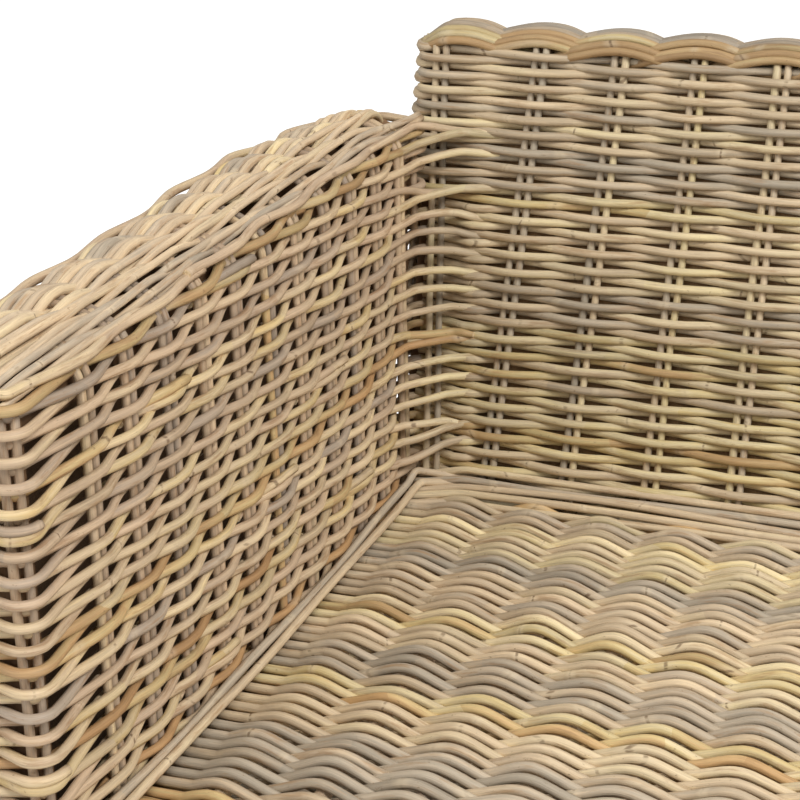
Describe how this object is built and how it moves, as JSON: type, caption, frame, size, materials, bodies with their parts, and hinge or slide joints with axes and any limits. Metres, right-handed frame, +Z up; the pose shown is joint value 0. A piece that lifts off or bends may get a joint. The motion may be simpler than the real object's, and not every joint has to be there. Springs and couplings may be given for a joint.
{
  "type": "rattan garden sofa",
  "caption": "Low garden sofa of woven round rattan over a timber frame, with box arms that have arched tops, a raked back with a wavy border, and a ridged woven seat deck.",
  "frame": {"origin": "bottom centre of the sofa, on the floor", "axes": "+Z up, +Y towards the back, so -Y is the open front; +X along the seat, to the right seen from the front"},
  "size_m": [1.6, 0.834, 0.715],
  "materials": {
    "panel_weave": "natural round rattan in tan, honey and grey, satin",
    "seat_weave": "natural round rattan in pale tan, honey and grey bands, satin",
    "border_rattan": "natural round rattan, satin",
    "seat_ribs": "split rattan, matt",
    "frame_timber": "planed hardwood, matt",
    "foot_timber": "stained hardwood, satin",
    "glide_plastic": "moulded, matt"
  },
  "bodies": {
    "root": {"arm_front_board_left": "frame_timber", "arm_front_board_right": "frame_timber", "arm_rear_board_left": "frame_timber", "arm_rear_board_right": "frame_timber", "arm_inner_edge_rail_left": "frame_timber", "arm_inner_edge_rail_right": "frame_timber", "arm_outer_edge_rail_left": "frame_timber", "arm_outer_edge_rail_right": "frame_timber", "arm_seat_rail_left": "frame_timber", "arm_seat_rail_right": "frame_timber", "arm_base_plank_left": "frame_timber", "arm_base_plank_right": "frame_timber", "front_seat_rail": "frame_timber", "middle_seat_rail": "frame_timber", "rear_seat_plank": "frame_timber", "front_base_rail": "frame_timber", "rear_base_rail": "frame_timber", "front_centre_post": "frame_timber", "rear_centre_post": "frame_timber", "back_post_left": "frame_timber", "back_post_left_middle": "frame_timber", "back_post_middle": "frame_timber", "back_post_right_middle": "frame_timber", "back_post_right": "frame_timber", "back_top_rail": "frame_timber", "seat_rib_frame": "seat_ribs", "seat_deck_weave": "seat_weave", "seat_seam_trim": "border_rattan", "front_apron_weave": "panel_weave", "base_rear_weave": "panel_weave", "arm_front_weave_left": "panel_weave", "arm_front_weave_right": "panel_weave", "arm_rear_weave_left": "panel_weave", "arm_rear_weave_right": "panel_weave", "arm_outer_weave_left": "panel_weave", "arm_outer_weave_right": "panel_weave", "arm_inner_weave_left": "panel_weave", "arm_inner_weave_right": "panel_weave", "arm_top_weave_left": "panel_weave", "arm_top_weave_right": "panel_weave", "back_front_weave": "panel_weave", "back_rear_weave": "panel_weave", "back_end_weave_left": "panel_weave", "back_end_weave_right": "panel_weave", "back_top_weave": "border_rattan", "foot_front_left": "foot_timber", "foot_front_right": "foot_timber", "foot_front_centre": "foot_timber", "foot_rear_left": "foot_timber", "foot_rear_right": "foot_timber", "foot_rear_centre": "foot_timber", "foot_glide_front_left": "glide_plastic", "foot_glide_front_right": "glide_plastic", "foot_glide_front_centre": "glide_plastic", "foot_glide_rear_left": "glide_plastic", "foot_glide_rear_right": "glide_plastic", "foot_glide_rear_centre": "glide_plastic"}
  },
  "joints": []
}
